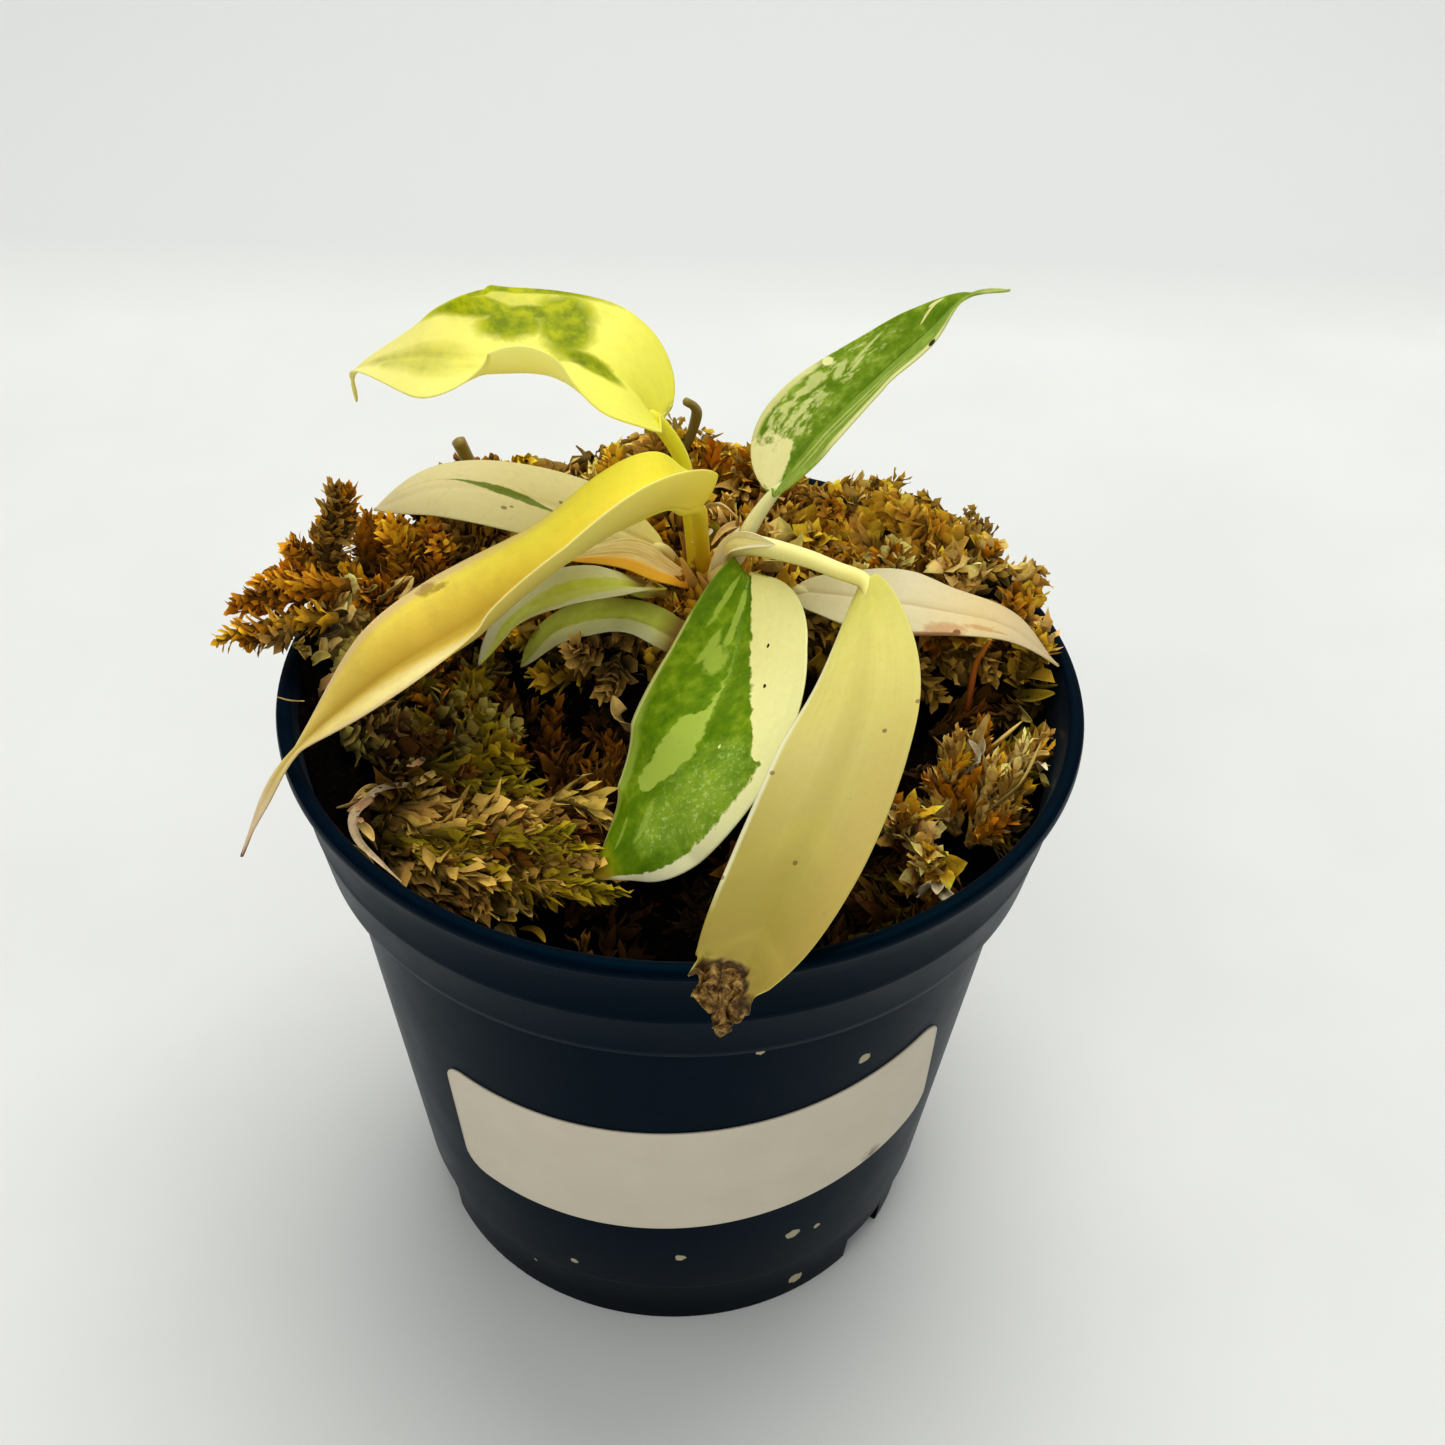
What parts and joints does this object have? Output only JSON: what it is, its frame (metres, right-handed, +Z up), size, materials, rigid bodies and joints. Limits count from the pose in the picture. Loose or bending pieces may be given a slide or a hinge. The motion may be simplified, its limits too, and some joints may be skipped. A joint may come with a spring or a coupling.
{
  "type": "potted philodendron",
  "caption": "Young potted philodendron with long narrow folded leaves variegated in green, yellow and cream, in moss in a round tapered nursery pot with a blank label.",
  "frame": {"origin": "middle of the pot's underside, on the surface that it stands on", "axes": "+Z up along the pot's axis; -Y towards the picture's camera, where the label is; +X to the right seen from there"},
  "size_m": [0.1161, 0.1167, 0.14],
  "materials": {
    "pot_plastic": "thin dark blue-black plastic with a soft sheen",
    "label_paper": "matt off-white paper, blank",
    "leaf_lime": "lime-yellow leaf with green bands, satin",
    "leaf_gold": "golden-yellow leaf, satin",
    "leaf_green": "green leaf flecked and patched with cream, satin",
    "leaf_cream": "cream leaf with olive tints, satin",
    "dry_sheath": "dried papery orange-brown leaf sheath",
    "stem_brown": "short stem with torn brown sheaths",
    "twig_bark": "thin olive-brown twig",
    "moss_rust": "dead sphagnum moss, rust brown",
    "moss_olive": "sphagnum moss, olive",
    "moss_straw": "dry sphagnum moss, straw coloured",
    "moss_buff": "dry sphagnum moss, buff"
  },
  "bodies": {
    "root": {"pot": "pot_plastic", "label": "label_paper", "leaf_upper_left": "leaf_lime", "leaf_long_golden": "leaf_gold", "leaf_upper_right": "leaf_green", "leaf_front_hanging": "leaf_cream", "leaf_front_half_green": "leaf_green", "leaf_left_cream": "leaf_cream", "leaf_small_upper": "leaf_green", "leaf_small_lower": "leaf_green", "leaf_right_cream": "leaf_cream", "dry_sheath_left": "dry_sheath", "stem": "stem_brown", "twig_stub": "twig_bark", "twig_curved": "twig_bark", "moss_bed": "moss_rust", "moss_olive": "moss_olive", "moss_straw": "moss_straw", "moss_buff": "moss_buff"}
  },
  "joints": []
}
